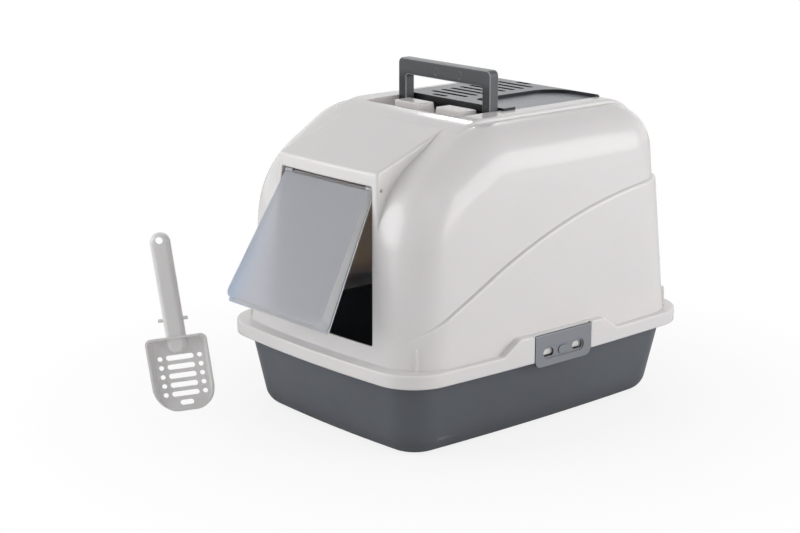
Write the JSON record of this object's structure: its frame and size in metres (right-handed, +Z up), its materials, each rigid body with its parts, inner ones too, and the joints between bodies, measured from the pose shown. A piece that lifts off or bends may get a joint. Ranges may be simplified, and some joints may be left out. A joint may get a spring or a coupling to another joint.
{
  "type": "hooded litter box",
  "caption": "Hooded cat litter box: deep tray, lift-off hood with swinging door flap, folding carrying handle, hinged vent lid over a filter, side latches, and a separate slotted scoop.",
  "frame": {"origin": "on the floor under the middle of the tray's flat base", "axes": "+Z up, the door faces -Y, and +X is to the right of someone who faces the door"},
  "size_m": [0.3887, 0.6023, 0.434],
  "materials": {
    "tray_grey": "satin",
    "hood_white": "glossy",
    "flap_frosted": "frosted, translucent",
    "pin_steel": "drawn rod",
    "handle_grey": "satin",
    "lid_grey": "satin",
    "filter_black": "matt foam",
    "latch_grey": "satin",
    "scoop_pale": "satin"
  },
  "bodies": {
    "tray": {"litter_tray": "tray_grey"},
    "hood": {"hood": "hood_white", "flap_pin_right": "pin_steel", "flap_pin_left": "pin_steel", "carbon_filter": "filter_black"},
    "flap": {"door_flap": "flap_frosted"},
    "handle": {"carry_handle": "handle_grey"},
    "lid": {"vent_lid": "lid_grey"},
    "latch_right": {"latch_right": "latch_grey"},
    "latch_left": {"latch_left": "latch_grey"},
    "scoop": {"scoop": "scoop_pale"}
  },
  "joints": [
    {"name": "hood_lift", "type": "slide", "parent": "tray", "child": "hood", "axis": [0, 0, 1], "range_m": [0, 0.12]},
    {"name": "flap_swing", "type": "hinge", "parent": "hood", "child": "flap", "pos_m": [0, -0.20937, 0.3145], "axis": [-1, 0, 0], "range_deg": [-98, 47]},
    {"name": "handle_fold", "type": "hinge", "parent": "hood", "child": "handle", "pos_m": [0, -0.02125, 0.37525], "axis": [1, 0, 0], "range_deg": [0, 90]},
    {"name": "lid_open", "type": "hinge", "parent": "hood", "child": "lid", "pos_m": [0, 0.152, 0.382], "axis": [-1, 0, 0], "range_deg": [0, 85]},
    {"name": "latch_right_turn", "type": "hinge", "parent": "hood", "child": "latch_right", "pos_m": [0.1858, 0, 0.1269], "axis": [0, -1, 0], "range_deg": [0, 100]},
    {"name": "latch_left_turn", "type": "hinge", "parent": "hood", "child": "latch_left", "pos_m": [-0.1858, 0, 0.1269], "axis": [0, 1, 0], "range_deg": [0, 100]},
    {"name": "scoop_lift", "type": "slide", "parent": "tray", "child": "scoop", "axis": [0, 0, 1], "range_m": [0, 0.15]}
  ]
}
